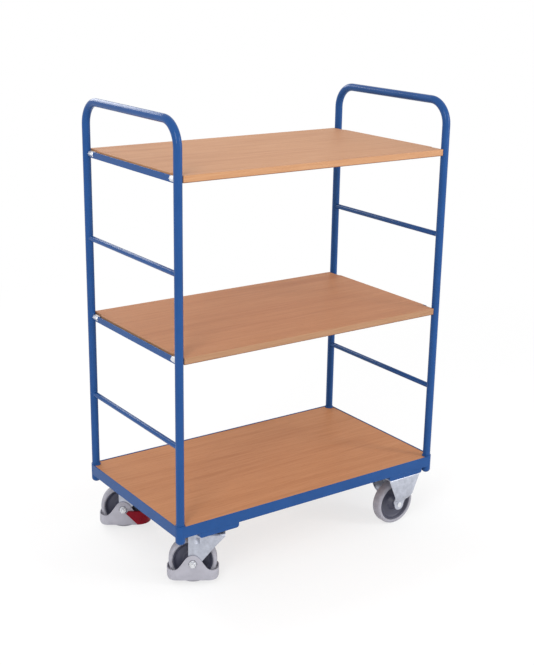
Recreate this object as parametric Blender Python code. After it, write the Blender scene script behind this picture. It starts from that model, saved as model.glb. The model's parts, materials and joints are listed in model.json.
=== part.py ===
"""Shelf trolley: two tubular end frames with push handles, three boards, two swivel and two fixed casters.

Metres, +Z up. The origin is on the floor in the middle of the trolley's outline, casters included. The long
side runs along X, the swivel casters are at the left end (-X), and the front is the side facing -Y. The base
frame's middle lies FRAME_SHIFT in front of the origin, because a foot guard stands out at the back.
"""

import math

import bmesh
import bpy
from mathutils import Matrix, Vector

# Whole trolley
POST_SPACING_X = 1.038
POST_SPACING_Y = 0.578
OVERALL_HEIGHT = 1.536
FRAME_SHIFT = 0.014

# Clearances
SEAT_GAP = 0.0003
RUNNING_GAP = 0.0004
CUT_OVERRUN = 0.004

# End frames
TUBE_DIAMETER = 0.0269
TUBE_WALL = 0.0015
HANDLE_BEND_RADIUS = 0.078
RUNG_DIAMETER = 0.018
LOWER_RUNG_RISE = 0.2665
UPPER_RUNG_RISE = 0.2595

# Corner sleeves
SLEEVE_DIAMETER = 0.032
SLEEVE_RIM = 0.003
SLEEVE_LENGTH = 0.0685
SLEEVE_DOME = 0.014
SLEEVE_FLOOR = 0.0155

# Base frame
RAIL_HEIGHT = 0.038
RAIL_WALL = 0.0035
RAIL_LEDGE_WIDTH = 0.026
RAIL_LEDGE_THICKNESS = 0.003
CROSS_MEMBER_WIDTH = 0.150
CROSS_MEMBER_DEPTH = 0.0167
CROSS_MEMBER_WALL = 0.003
CROSS_MEMBER_CORNER = 0.009

# Boards
BOARD_THICKNESS = 0.022
LOWER_BOARD_DROP = 0.0015
LOWER_BOARD_GAP = 0.0005
SHELF_OVERHANG = 0.0075
SHELF_END_MARGIN = 0.0075
SHELF_POST_GAP = 0.001
MIDDLE_SHELF_RISE = 0.559
TOP_SHELF_DROP = 0.1695

# Shelf carriers: steel angles under the shelf ends, held to the posts by long hexagon nuts
CARRIER_WALL = 0.003
CARRIER_FLANGE = 0.030
CARRIER_TONGUE = 0.015
CARRIER_DROP = 0.004
CARRIER_OVERHANG = 0.001
END_PLATE_INSET = 0.002
CARRIER_NUT_FLATS = 0.017
CARRIER_NUT_LENGTH = 0.031
CARRIER_NUT_CHAMFER = 0.0015

# Wheels
WHEEL_DIAMETER = 0.160
WHEEL_WIDTH = 0.040
TREAD_WIDTH = 0.016
TYRE_THICKNESS = 0.014
TYRE_SHOULDER = 0.008
TYRE_FOOT = 0.003
RIM_WIDTH = 0.034
HUB_DIAMETER = 0.038
HUB_WIDTH = 0.060
WEB_WIDTH = 0.014
BEARING_DIAMETER = 0.024
BEARING_WIDTH = 0.069
AXLE_DIAMETER = 0.012

# Caster places: how far the swivel and the fixed casters stand in from the base frame's outer faces
SWIVEL_INSET = 0.154
FIXED_INSET = 0.1245
CASTER_SIDE_INSET = 0.0665
FRONT_SWIVEL_YAW = math.radians(-32.7)
BACK_SWIVEL_YAW = math.radians(-32.2)

# Swivel casters, from the plate down. Lengths along the caster count from the swivel axis.
PLATE_LENGTH = 0.140
PLATE_WIDTH = 0.110
PLATE_THICKNESS = 0.004
PLATE_CORNER = 0.008
HEAD_DIAMETER = 0.076
HEAD_HEIGHT = 0.0069
HEAD_EDGE = 0.004
KING_PIN_DIAMETER = 0.012
KING_NUT_DIAMETER = 0.024
KING_NUT_THICKNESS = 0.009
WHEEL_CLEARANCE = 0.0252
CROWN_EDGE = 0.004
CROWN_REACH = 0.054
TRAIL = 0.052
FORK_WALL = 0.003
HUB_GAP = 0.001
FORK_CREASE = -0.029
FORK_FLARE = 0.008
FORK_FLARE_RISE = 0.032
FORK_BACK = 0.0145
FORK_EYE_RADIUS = 0.0185
FORK_NOSE_HEIGHT = 0.006

# Foot guards: heights above the floor, but the domes' top above the axle
GUARD_WHEEL_GAP = 0.0025
GUARD_WALL = 0.0035
GUARD_CORNER = 0.034
GUARD_FOOT = 0.020
GUARD_RIM = 0.055
GUARD_DOME_RISE = 0.030
GUARD_DOME_HALF_WIDTH = 0.082
GUARD_DOME_SPREAD = 1.29
GUARD_DOME_FALL = 5.4
GUARD_EDGE = 0.012

# Axle fasteners
AXLE_NUT_FLATS = 0.019
AXLE_NUT_THICKNESS = 0.008
AXLE_WASHER_DIAMETER = 0.024
AXLE_WASHER_THICKNESS = 0.002
AXLE_BOLT_END = 0.002
AXLE_RIVET_DIAMETER = 0.018
AXLE_RIVET_THICKNESS = 0.0025
AXLE_RIVET_TAPER = 0.0015

# Brake pedal of the back swivel caster: heights above the floor and distances ahead of the axle
PEDAL_WALL = 0.0077
PEDAL_NOSE_GAP = 0.0015
PEDAL_NOSE_WALL = 0.0095
PEDAL_CORNER = 0.042
PEDAL_FOOT = 0.025
PEDAL_HEEL_X = 0.051
PEDAL_CHEEK_X = 0.011
PEDAL_CHEEK_Z = 0.067
PEDAL_TOP = 0.076
PEDAL_TOP_START_X = 0.019
PEDAL_TOP_END_X = 0.058
PEDAL_NOSE_TOP = 0.050
PEDAL_PIN_DIAMETER = 0.008
PEDAL_PIN_X = 0.046
PEDAL_PIN_Z = 0.048

# Fixed casters: rises are heights above the axle
FIXED_PLATE_LENGTH = 0.138
FIXED_PLATE_WIDTH = 0.124
FIXED_BEND_RADIUS = 0.004
FIXED_EYE_RADIUS = 0.020
EYE_START_ANGLE = -75
FIXED_STEP_RISE = 0.012
FIXED_KNEE_RISE = 0.036
FIXED_KNEE_HALF_WIDTH = 0.041
FIXED_PANEL_HALF_WIDTH = 0.030
FIXED_RIB_HEIGHT = 0.0025
FIXED_RIB_FADE = 0.014

# Sides of round pieces
TUBE_SIDES = 20
ROUND_SIDES = 24
WHEEL_SIDES = 32
SMALL_SIDES = 16
BEND_STEPS = 7
CORNER_STEPS = 5
BELL_STEPS = 18
EYE_STEPS = 6
STEP_STEPS = 4
FOLD_STEPS = 3
SHOULDER_STEPS = 3

SMOOTH_ANGLE = math.radians(35)

# Worked out from the sizes above
POST_X = POST_SPACING_X / 2
POST_Y = POST_SPACING_Y / 2
TUBE_RADIUS = TUBE_DIAMETER / 2
WHEEL_RADIUS = WHEEL_DIAMETER / 2
CROWN_UNDERSIDE = WHEEL_DIAMETER + WHEEL_CLEARANCE
CROWN_HEIGHT = CROWN_UNDERSIDE + FORK_WALL
HEAD_BOTTOM = CROWN_HEIGHT + SEAT_GAP
HEAD_TOP = HEAD_BOTTOM + HEAD_HEIGHT
PLATE_BOTTOM = HEAD_TOP + SEAT_GAP
PLATE_TOP = PLATE_BOTTOM + PLATE_THICKNESS
CROSS_MEMBER_BOTTOM = PLATE_TOP + SEAT_GAP
CROSS_MEMBER_TOP = CROSS_MEMBER_BOTTOM + CROSS_MEMBER_DEPTH
RAIL_BOTTOM = CROSS_MEMBER_TOP + SEAT_GAP
BASE_TOP = RAIL_BOTTOM + RAIL_HEIGHT
SLEEVE_RADIUS = SLEEVE_DIAMETER / 2
SLEEVE_TOP = BASE_TOP + SLEEVE_RIM
SLEEVE_BOTTOM = SLEEVE_TOP - SLEEVE_LENGTH
SLEEVE_BORE_FLOOR = SLEEVE_BOTTOM + SLEEVE_FLOOR
FRAME_HALF_X = POST_X + SLEEVE_RADIUS
FRAME_HALF_Y = POST_Y + SLEEVE_RADIUS
HANDLE_AXIS = OVERALL_HEIGHT - TUBE_RADIUS
LOWER_BOARD_TOP = BASE_TOP - LOWER_BOARD_DROP
LEDGE_TOP = LOWER_BOARD_TOP - BOARD_THICKNESS - SEAT_GAP
MIDDLE_SHELF_TOP = LOWER_BOARD_TOP + MIDDLE_SHELF_RISE
TOP_SHELF_TOP = OVERALL_HEIGHT - TOP_SHELF_DROP
LOWER_RUNG_HEIGHT = LOWER_BOARD_TOP + LOWER_RUNG_RISE
UPPER_RUNG_HEIGHT = MIDDLE_SHELF_TOP + UPPER_RUNG_RISE
NUT_REACH = POST_Y - TUBE_RADIUS - SEAT_GAP
CARRIER_HALF_LENGTH = NUT_REACH - CARRIER_NUT_LENGTH - SEAT_GAP
SHELF_CORNER_X = POST_X - TUBE_RADIUS - SHELF_POST_GAP
SHELF_HALF_WIDTH = POST_Y + SHELF_OVERHANG
RIM_RADIUS = WHEEL_RADIUS - TYRE_THICKNESS
AXLE_RADIUS = AXLE_DIAMETER / 2
SWIVEL_X = SWIVEL_INSET - FRAME_HALF_X
FIXED_X = FRAME_HALF_X - FIXED_INSET
CASTER_Y = FRAME_HALF_Y - CASTER_SIDE_INSET
FORK_HALF_WIDTH = BEARING_WIDTH / 2 + HUB_GAP + FORK_WALL
GUARD_HALF_LENGTH = WHEEL_RADIUS + GUARD_WHEEL_GAP + GUARD_WALL
GUARD_HALF_WIDTH = FORK_HALF_WIDTH + SEAT_GAP + GUARD_WALL
PEDAL_HALF_WIDTH = GUARD_HALF_WIDTH + PEDAL_WALL
PEDAL_HALF_LENGTH = GUARD_HALF_LENGTH + PEDAL_NOSE_GAP + PEDAL_NOSE_WALL
WASHER_FACE = GUARD_HALF_WIDTH + SEAT_GAP
NUT_FACE = WASHER_FACE + AXLE_WASHER_THICKNESS
NUT_END = NUT_FACE + AXLE_NUT_THICKNESS

# A fixed caster's leg near the eye: where the raised panel's foot and top edge lie, as shares of its half width
PANEL_FOOT_SHARE = 0.85
PANEL_EDGE_SHARE = 0.72

ENDS = {"left": -1, "right": 1}
SIDES = {"front": -1, "back": 1}


def clear_scene():
    for obj in list(bpy.data.objects):
        bpy.data.objects.remove(obj, do_unlink=True)


def make_material(name, colour, roughness, metallic):
    material = bpy.data.materials.new(name)
    material.use_nodes = True
    shader = material.node_tree.nodes["Principled BSDF"]
    shader.inputs["Base Color"].default_value = (*colour, 1.0)
    shader.inputs["Roughness"].default_value = roughness
    shader.inputs["Metallic"].default_value = metallic
    return material


def make_place(name, location, turn_z=0.0, parent=None):
    """An empty that carries the pieces of one sub-assembly."""
    place = bpy.data.objects.new(name, None)
    place.location = location
    place.rotation_euler = (0, 0, turn_z)
    place.parent = parent
    bpy.context.scene.collection.objects.link(place)
    return place


def make_piece(name, shape, material, parent, location=(0, 0, 0)):
    """A named piece from a bmesh, smooth over its round faces."""
    bmesh.ops.recalc_face_normals(shape, faces=shape.faces[:])
    mesh = bpy.data.meshes.new(name)
    shape.to_mesh(mesh)
    shape.free()
    mesh.shade_smooth()
    mesh.set_sharp_from_angle(angle=SMOOTH_ANGLE)
    mesh.materials.append(material)
    piece = bpy.data.objects.new(name, mesh)
    piece.location = location
    piece.parent = parent
    bpy.context.scene.collection.objects.link(piece)
    return piece


def make_helper(name, shape, like):
    """A helper in the same place as a piece, kept out of the model."""
    helper = make_piece(name, shape, like.active_material, like.parent, like.location)
    helper.hide_render = True
    helper.display_type = "WIRE"
    return helper


def combine(piece, helper, operation):
    modifier = piece.modifiers.new(f"{operation.lower()} {helper.name}", "BOOLEAN")
    modifier.operation = operation
    modifier.solver = "EXACT"
    modifier.object = helper


def loft(rings):
    """A skin over rings of equally many points, with flat ends."""
    shape = bmesh.new()
    loops = [[shape.verts.new(point) for point in ring] for ring in rings]
    for low, high in zip(loops, loops[1:]):
        for i, corner in enumerate(low):
            j = (i + 1) % len(low)
            shape.faces.new((corner, low[j], high[j], high[i]))
    shape.faces.new(loops[0])
    shape.faces.new(loops[-1])
    return shape


def place_in(axis, a, b, level):
    """A point of an outline on the plane across an axis: (y, z), (x, z) or (x, y)."""
    if axis == "X":
        return Vector((level, a, b))
    if axis == "Y":
        return Vector((a, level, b))
    return Vector((a, b, level))


def prism(outline, low, high, axis):
    return loft([[place_in(axis, a, b, level) for a, b in outline] for level in (low, high)])


def turned(profile, sides, axis="Z"):
    """A profile of (radius, height) turned about an axis. It is solid if it starts and ends on the axis,
    and a ring if it does neither. A flat side faces each way along the other two axes."""
    shape = bmesh.new()
    columns = []
    for radius, height in profile:
        count = 1 if radius == 0 else sides
        ring = []
        for i in range(count):
            angle = 2 * math.pi * (i + 0.5) / sides
            a, b = radius * math.cos(angle), radius * math.sin(angle)
            ring.append(shape.verts.new(place_in(axis, a, b, height)))
        columns.append(ring * (sides // count))
    pairs = list(zip(columns, columns[1:]))
    if profile[0][0] > 0:
        pairs.append((columns[-1], columns[0]))
    for low, high in pairs:
        for i in range(sides):
            j = (i + 1) % sides
            shape.faces.new(list(dict.fromkeys((low[i], low[j], high[j], high[i]))))
    return shape


def cylinder(radius, low, high, sides, axis="Z"):
    return turned([(0, low), (radius, low), (radius, high), (0, high)], sides, axis)


def corner_radius(radius, sides):
    """The corner radius of the polygon whose flat sides touch a circle."""
    return radius / math.cos(math.pi / sides)


def arc(centre, radius, start, end, steps):
    """Points on an arc, with its angles in degrees."""
    points = []
    for i in range(steps + 1):
        angle = math.radians(start + (end - start) * i / steps)
        points.append((centre[0] + radius * math.cos(angle), centre[1] + radius * math.sin(angle)))
    return points


def mirrored_round(quarter):
    """A closed outline from its quarter, which runs anticlockwise from the first axis to the second."""
    points = []
    for sign_a, sign_b in ((1, 1), (-1, 1), (-1, -1), (1, -1)):
        part = [(sign_a * a, sign_b * b) for a, b in quarter]
        points += part if sign_a * sign_b > 0 else part[::-1]
    return points


def rounded_rectangle(half_a, half_b, corner):
    return mirrored_round(arc((half_a - corner, half_b - corner), corner, 0, 90, CORNER_STEPS))


def end_frame_path():
    """Centre line of an end frame in (y, z): up the front post, over the handle and down the back post."""
    foot = SLEEVE_BORE_FLOOR + SEAT_GAP
    bend_y = POST_Y - HANDLE_BEND_RADIUS
    bend_z = HANDLE_AXIS - HANDLE_BEND_RADIUS
    path = [(-POST_Y, foot)]
    path += arc((-bend_y, bend_z), HANDLE_BEND_RADIUS, 180, 90, BEND_STEPS)
    path += arc((bend_y, bend_z), HANDLE_BEND_RADIUS, 90, 0, BEND_STEPS)
    path.append((POST_Y, foot))
    return path


def hollow_tube(path, radius, inner_radius, sides):
    """A tube along a path in (y, z), open at both ends."""
    shape = bmesh.new()
    outer = []
    inner = []
    for i, (y, z) in enumerate(path):
        before = Vector(path[max(i - 1, 0)])
        after = Vector(path[min(i + 1, len(path) - 1)])
        along = (after - before).normalized()
        across = Vector((0, along.y, -along.x))
        for size, rings in ((radius, outer), (inner_radius, inner)):
            ring = []
            for k in range(sides):
                angle = 2 * math.pi * k / sides
                offset = across * math.cos(angle) + Vector((1, 0, 0)) * math.sin(angle)
                ring.append(shape.verts.new(Vector((0, y, z)) + offset * size))
            rings.append(ring)
    walls = list(zip(outer, outer[1:])) + list(zip(inner, inner[1:]))
    walls += [(outer[0], inner[0]), (outer[-1], inner[-1])]
    for low, high in walls:
        for k in range(sides):
            m = (k + 1) % sides
            shape.faces.new((low[k], low[m], high[m], high[k]))
    return shape


def coped_rung():
    """A rung along Y with its ends saddle cut to lie against the round posts."""
    radius = RUNG_DIAMETER / 2
    seat = TUBE_RADIUS + SEAT_GAP
    shape = bmesh.new()
    rings = []
    for side in (-1, 1):
        ring = []
        for x, z in arc((0, 0), radius, 0, 360, SMALL_SIDES)[:-1]:
            y = side * (POST_Y - math.sqrt(seat**2 - x**2))
            ring.append(shape.verts.new((x, y, z)))
        rings.append(ring)
    low, high = rings
    for k in range(SMALL_SIDES):
        m = (k + 1) % SMALL_SIDES
        shape.faces.new((low[k], low[m], high[m], high[k]))
    # Each end is closed in strips that follow the saddle's curve.
    for ring in rings:
        for k in range(SMALL_SIDES // 2):
            strip = (ring[k], ring[k + 1], ring[-k - 1], ring[-k])
            shape.faces.new(list(dict.fromkeys(strip)))
    return shape


def make_end_frames(trolley, blue):
    for end, sign in ENDS.items():
        place = make_place(f"end_frame_place_{end}", (sign * POST_X, 0, 0), parent=trolley)
        tube = hollow_tube(end_frame_path(), TUBE_RADIUS, TUBE_RADIUS - TUBE_WALL, TUBE_SIDES)
        make_piece(f"end_tube_{end}", tube, blue, place)
        for level, height in (("lower", LOWER_RUNG_HEIGHT), ("upper", UPPER_RUNG_HEIGHT)):
            make_piece(f"end_rung_{level}_{end}", coped_rung(), blue, place, (0, 0, height))


def corner_sleeve():
    """A sleeve with a rounded closed foot, bored for the post."""
    bore = corner_radius(TUBE_RADIUS + SEAT_GAP, ROUND_SIDES)
    dome = arc((0, 0), 1, -90, 0, CORNER_STEPS)
    profile = [(0, SLEEVE_BOTTOM)]
    for across, down in dome[1:]:
        profile.append((SLEEVE_RADIUS * across, SLEEVE_BOTTOM + SLEEVE_DOME * (1 + down)))
    profile += [(SLEEVE_RADIUS, SLEEVE_TOP), (bore, SLEEVE_TOP), (bore, SLEEVE_BORE_FLOOR)]
    profile.append((0, SLEEVE_BORE_FLOOR))
    return turned(profile, ROUND_SIDES)


def rail_section():
    """A rail's section as (distance in from the outer face, height). Its ledge carries the lower board."""
    ledge_bottom = LEDGE_TOP - RAIL_LEDGE_THICKNESS
    return [
        (0, RAIL_BOTTOM),
        (RAIL_WALL, RAIL_BOTTOM),
        (RAIL_WALL, ledge_bottom),
        (RAIL_LEDGE_WIDTH, ledge_bottom),
        (RAIL_LEDGE_WIDTH, LEDGE_TOP),
        (RAIL_WALL, LEDGE_TOP),
        (RAIL_WALL, BASE_TOP),
        (0, BASE_TOP),
    ]


def make_rail(name, trolley, blue, half_across, half_length, sign, axis):
    """A rail from post to post, cut round the sleeve at each end."""
    outline = [(sign * (half_across - inward), height) for inward, height in rail_section()]
    rail = make_piece(name, prism(outline, -half_length, half_length, axis), blue, trolley)
    for sign_along in (-1, 1):
        radius = SLEEVE_RADIUS + SEAT_GAP
        cutter = cylinder(radius, RAIL_BOTTOM - CUT_OVERRUN, BASE_TOP + CUT_OVERRUN, ROUND_SIDES)
        along = sign_along * half_length
        across = sign * (half_across - SLEEVE_RADIUS)
        shift = (along, across, 0) if axis == "X" else (across, along, 0)
        bmesh.ops.translate(cutter, verts=cutter.verts[:], vec=shift)
        end = "first" if sign_along < 0 else "second"
        combine(rail, make_helper(f"{name}_{end}_cut", cutter, rail), "DIFFERENCE")


def cross_member_section(inset, top):
    half = CROSS_MEMBER_WIDTH / 2 - inset
    floor = CROSS_MEMBER_BOTTOM + inset
    bend = CROSS_MEMBER_CORNER - inset
    points = [(-half, top)]
    points += arc((-half + bend, floor + bend), bend, 180, 270, CORNER_STEPS)
    points += arc((half - bend, floor + bend), bend, 270, 360, CORNER_STEPS)
    points.append((half, top))
    return points


def make_cross_member(name, x, trolley, blue):
    """A shallow folded tray across the frame, open at its top."""
    section = cross_member_section(0, CROSS_MEMBER_TOP)
    member = make_piece(name, prism(section, -FRAME_HALF_Y, FRAME_HALF_Y, "Y"), blue, trolley, (x, 0, 0))
    half = FRAME_HALF_Y - CROSS_MEMBER_WALL
    section = cross_member_section(CROSS_MEMBER_WALL, CROSS_MEMBER_TOP + CUT_OVERRUN)
    combine(member, make_helper(f"{name}_hollow", prism(section, -half, half, "Y"), member), "DIFFERENCE")


def make_base_frame(trolley, blue):
    for side, sign in SIDES.items():
        make_rail(f"base_rail_{side}", trolley, blue, FRAME_HALF_Y, POST_X, sign, "X")
    for end, sign in ENDS.items():
        make_rail(f"base_rail_{end}", trolley, blue, FRAME_HALF_X, POST_Y, sign, "Y")
        for side, sign_y in SIDES.items():
            place = (sign * POST_X, sign_y * POST_Y, 0)
            make_piece(f"corner_sleeve_{side}_{end}", corner_sleeve(), blue, trolley, place)
    make_cross_member("cross_member_left", SWIVEL_X, trolley, blue)
    make_cross_member("cross_member_right", FIXED_X, trolley, blue)


def lower_board_outline():
    """The board inside the rails, with its corners cut round the corner sleeves."""
    half_x = FRAME_HALF_X - RAIL_WALL - LOWER_BOARD_GAP
    half_y = FRAME_HALF_Y - RAIL_WALL - LOWER_BOARD_GAP
    radius = SLEEVE_RADIUS + LOWER_BOARD_GAP
    reach = half_x - POST_X
    drop = math.degrees(math.acos(reach / radius))
    steps = 3 * CORNER_STEPS
    return mirrored_round(arc((POST_X, POST_Y), radius, -drop, drop - 270, steps))


def shelf_outline():
    """A shelf board, set back at its corners to clear the carriers' nuts and end plates."""
    end_x = POST_X - SHELF_END_MARGIN
    notch_y = CARRIER_HALF_LENGTH - CARRIER_WALL - SEAT_GAP
    ease_y = notch_y - (end_x - SHELF_CORNER_X)
    return mirrored_round([(end_x, ease_y), (SHELF_CORNER_X, notch_y), (SHELF_CORNER_X, SHELF_HALF_WIDTH)])


def make_boards(trolley, wood):
    levels = (
        ("lower", LOWER_BOARD_TOP, lower_board_outline()),
        ("middle", MIDDLE_SHELF_TOP, shelf_outline()),
        ("top", TOP_SHELF_TOP, shelf_outline()),
    )
    for level, top, outline in levels:
        make_piece(f"board_{level}", prism(outline, top - BOARD_THICKNESS, top, "Z"), wood, trolley)


def make_carrier(name, sign, board_top, trolley, blue):
    """A steel angle: the board's end lies on its flange, and two tongues run on to the posts."""
    outer = sign * (POST_X + CARRIER_OVERHANG)
    leg_inner = outer - sign * CARRIER_WALL
    flange_inner = outer - sign * CARRIER_FLANGE
    tongue_inner = outer - sign * CARRIER_TONGUE
    flange_top = board_top - BOARD_THICKNESS - SEAT_GAP
    flange_bottom = flange_top - CARRIER_WALL
    leg_top = board_top - CARRIER_DROP
    half = CARRIER_HALF_LENGTH
    flange = [
        (outer, -NUT_REACH),
        (outer, NUT_REACH),
        (tongue_inner, NUT_REACH),
        (tongue_inner, half),
        (flange_inner, half),
        (flange_inner, -half),
        (tongue_inner, -half),
        (tongue_inner, -NUT_REACH),
    ]
    carrier = make_piece(name, prism(flange, flange_bottom, flange_top, "Z"), blue, trolley)
    leg = [(outer, flange_bottom), (leg_inner, flange_bottom), (leg_inner, leg_top), (outer, leg_top)]
    combine(carrier, make_helper(f"{name}_leg", prism(leg, -half, half, "Y"), carrier), "UNION")
    plate_inner = sign * (SHELF_CORNER_X + SEAT_GAP)
    plate_top = leg_top - END_PLATE_INSET
    plate = [(outer, flange_bottom), (plate_inner, flange_bottom), (plate_inner, plate_top), (outer, plate_top)]
    for side, sign_y in SIDES.items():
        low, high = sorted((sign_y * (half - CARRIER_WALL), sign_y * half))
        combine(carrier, make_helper(f"{name}_{side}_plate", prism(plate, low, high, "Y"), carrier), "UNION")


def hexagon(flats):
    """A hexagon with one flat down."""
    corner = flats / math.sqrt(3)
    return arc((0, 0), corner, 0, 300, 5)


def carrier_nut():
    """A long hexagon nut lying along Y, chamfered at both ends."""
    half = CARRIER_NUT_LENGTH / 2
    chamfer = CARRIER_NUT_CHAMFER
    levels = ((-half, chamfer), (-half + chamfer, 0), (half - chamfer, 0), (half, chamfer))
    return loft([[Vector((a, y, b)) for a, b in hexagon(CARRIER_NUT_FLATS - 2 * inset)] for y, inset in levels])


def make_shelf_supports(trolley, blue, zinc):
    nut_x = SHELF_CORNER_X + SEAT_GAP + CARRIER_NUT_FLATS / math.sqrt(3)
    nut_y = NUT_REACH - CARRIER_NUT_LENGTH / 2
    for level, board_top in (("middle", MIDDLE_SHELF_TOP), ("top", TOP_SHELF_TOP)):
        nut_z = board_top - BOARD_THICKNESS + CARRIER_NUT_FLATS / 2
        for end, sign in ENDS.items():
            make_carrier(f"shelf_carrier_{level}_{end}", sign, board_top, trolley, blue)
            for side, sign_y in SIDES.items():
                place = (sign * nut_x, sign_y * nut_y, nut_z)
                make_piece(f"carrier_nut_{level}_{side}_{end}", carrier_nut(), zinc, trolley, place)


def both_faces(half_profile):
    """A closed ring profile from its one half, which runs from the bore outwards."""
    return [(radius, -height) for radius, height in half_profile] + half_profile[::-1]


def make_wheel(where, place, axle_at, tyre_look, rim_look, steel):
    """Tyre, rim and hub bearing, turned about the axle."""
    tyre_bore = RIM_RADIUS + SEAT_GAP
    tread = corner_radius(WHEEL_RADIUS, WHEEL_SIDES)
    tyre = [
        (tyre_bore, RIM_WIDTH / 2),
        (tyre_bore + TYRE_FOOT, WHEEL_WIDTH / 2),
    ]
    for i in range(SHOULDER_STEPS + 1):
        turn = math.pi / 2 * i / SHOULDER_STEPS
        side = (TREAD_WIDTH + (WHEEL_WIDTH - TREAD_WIDTH) * math.cos(turn)) / 2
        tyre.append((tread - TYRE_SHOULDER * (1 - math.sin(turn)), side))
    make_piece(f"wheel_tyre_{where}", turned(both_faces(tyre), WHEEL_SIDES, "Y"), tyre_look, place, axle_at)
    hub = HUB_DIAMETER / 2
    rim = [
        (BEARING_DIAMETER / 2 + SEAT_GAP, HUB_WIDTH / 2),
        (hub, HUB_WIDTH / 2),
        (hub + (HUB_WIDTH - WEB_WIDTH) / 4, WEB_WIDTH / 2),
        (RIM_RADIUS - (RIM_WIDTH - WEB_WIDTH) / 2, WEB_WIDTH / 2),
        (RIM_RADIUS, RIM_WIDTH / 2),
    ]
    make_piece(f"wheel_rim_{where}", turned(both_faces(rim), WHEEL_SIDES, "Y"), rim_look, place, axle_at)
    bearing = [
        (corner_radius(AXLE_RADIUS + RUNNING_GAP, SMALL_SIDES), BEARING_WIDTH / 2),
        (BEARING_DIAMETER / 2, BEARING_WIDTH / 2),
    ]
    ring = turned(both_faces(bearing), SMALL_SIDES, "Y")
    make_piece(f"hub_bearing_{where}", ring, steel, place, axle_at)


def fork_section(level, inset, overrun, flare, edge):
    """A level section through the swivel fork: straight at the back, spreading ahead of the crease."""
    half = FORK_HALF_WIDTH - inset - edge
    back = -TRAIL - FORK_EYE_RADIUS - overrun
    front = CROWN_REACH + overrun
    half_front = half + flare * (front - FORK_CREASE) / (CROWN_REACH - FORK_CREASE)
    outline = [(back, -half), (FORK_CREASE, -half), (front, -half_front)]
    outline += [(a, -b) for a, b in outline[::-1]]
    return [Vector((a, b, level)) for a, b in outline]


def fork_body(top, inset, overrun):
    """The fork's block, or with an inset the room between its cheeks. It is longer than the fork all round."""
    edge = CROWN_EDGE - inset
    block = loft(
        [
            fork_section(WHEEL_RADIUS - FORK_EYE_RADIUS - overrun, inset, overrun, 0, 0),
            fork_section(WHEEL_RADIUS + FORK_FLARE_RISE, inset, overrun, 0, 0),
            fork_section(top - edge, inset, overrun, FORK_FLARE, 0),
            fork_section(top, inset, overrun, FORK_FLARE, edge),
        ]
    )
    # The spreading cheeks are twisted, and a Boolean needs flat faces.
    bmesh.ops.triangulate(block, faces=block.faces[:])
    return block


def fork_side():
    """The fork from its side: upright at the back, round the axle, and slanting up to the nose."""
    run = CROWN_REACH + TRAIL
    rise = CROWN_HEIGHT - FORK_NOSE_HEIGHT - WHEEL_RADIUS
    slant = math.degrees(math.atan2(rise, run) + math.asin(FORK_EYE_RADIUS / math.hypot(run, rise)))
    top = CROWN_HEIGHT + CUT_OVERRUN
    start = 180 + math.degrees(math.acos(FORK_BACK / FORK_EYE_RADIUS))
    outline = [(CROWN_REACH, top), (-TRAIL - FORK_BACK, top)]
    outline += arc((-TRAIL, WHEEL_RADIUS), FORK_EYE_RADIUS, start, 270 + slant, 2 * CORNER_STEPS)
    outline.append((CROWN_REACH, CROWN_HEIGHT - FORK_NOSE_HEIGHT))
    width = FORK_HALF_WIDTH + 2 * FORK_FLARE
    return prism(outline, -width, width, "Y")


def make_swivel_fork(where, place, zinc):
    """A bent sheet with a flat crown and two cheeks, bored for the king pin and the axle."""
    fork = make_piece(f"swivel_fork_{where}", fork_body(CROWN_HEIGHT, 0, CUT_OVERRUN), zinc, place)
    hollow = fork_body(CROWN_UNDERSIDE, FORK_WALL, 2 * CUT_OVERRUN)
    combine(fork, make_helper(f"fork_hollow_{where}", hollow, fork), "DIFFERENCE")
    combine(fork, make_helper(f"fork_side_{where}", fork_side(), fork), "INTERSECT")
    pin_hole = cylinder(
        corner_radius(KING_PIN_DIAMETER / 2 + RUNNING_GAP, SMALL_SIDES),
        CROWN_UNDERSIDE - CUT_OVERRUN,
        CROWN_HEIGHT + CUT_OVERRUN,
        SMALL_SIDES,
    )
    combine(fork, make_helper(f"king_pin_hole_{where}", pin_hole, fork), "DIFFERENCE")
    axle_hole = axle_hole_cutter(FORK_HALF_WIDTH)
    bmesh.ops.translate(axle_hole, verts=axle_hole.verts[:], vec=(-TRAIL, 0, WHEEL_RADIUS))
    combine(fork, make_helper(f"axle_hole_{where}", axle_hole, fork), "DIFFERENCE")


def axle_hole_cutter(half_width):
    radius = corner_radius(AXLE_RADIUS + RUNNING_GAP, SMALL_SIDES)
    half = half_width + CUT_OVERRUN
    return cylinder(radius, -half, half, SMALL_SIDES, "Y")


def swivel_head():
    """The swivel bearing under the plate, with the king pin and its nut below the fork's crown."""
    nut_top = CROWN_UNDERSIDE - SEAT_GAP
    nut_bottom = nut_top - KING_NUT_THICKNESS
    profile = [
        (0, nut_bottom),
        (KING_NUT_DIAMETER / 2, nut_bottom),
        (KING_NUT_DIAMETER / 2, nut_top),
        (KING_PIN_DIAMETER / 2, nut_top),
        (KING_PIN_DIAMETER / 2, HEAD_BOTTOM),
        (HEAD_DIAMETER / 2 - HEAD_EDGE, HEAD_BOTTOM),
        (HEAD_DIAMETER / 2, (HEAD_BOTTOM + HEAD_TOP) / 2),
        (HEAD_DIAMETER / 2, HEAD_TOP),
        (0, HEAD_TOP),
    ]
    return turned(profile, ROUND_SIDES)


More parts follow.
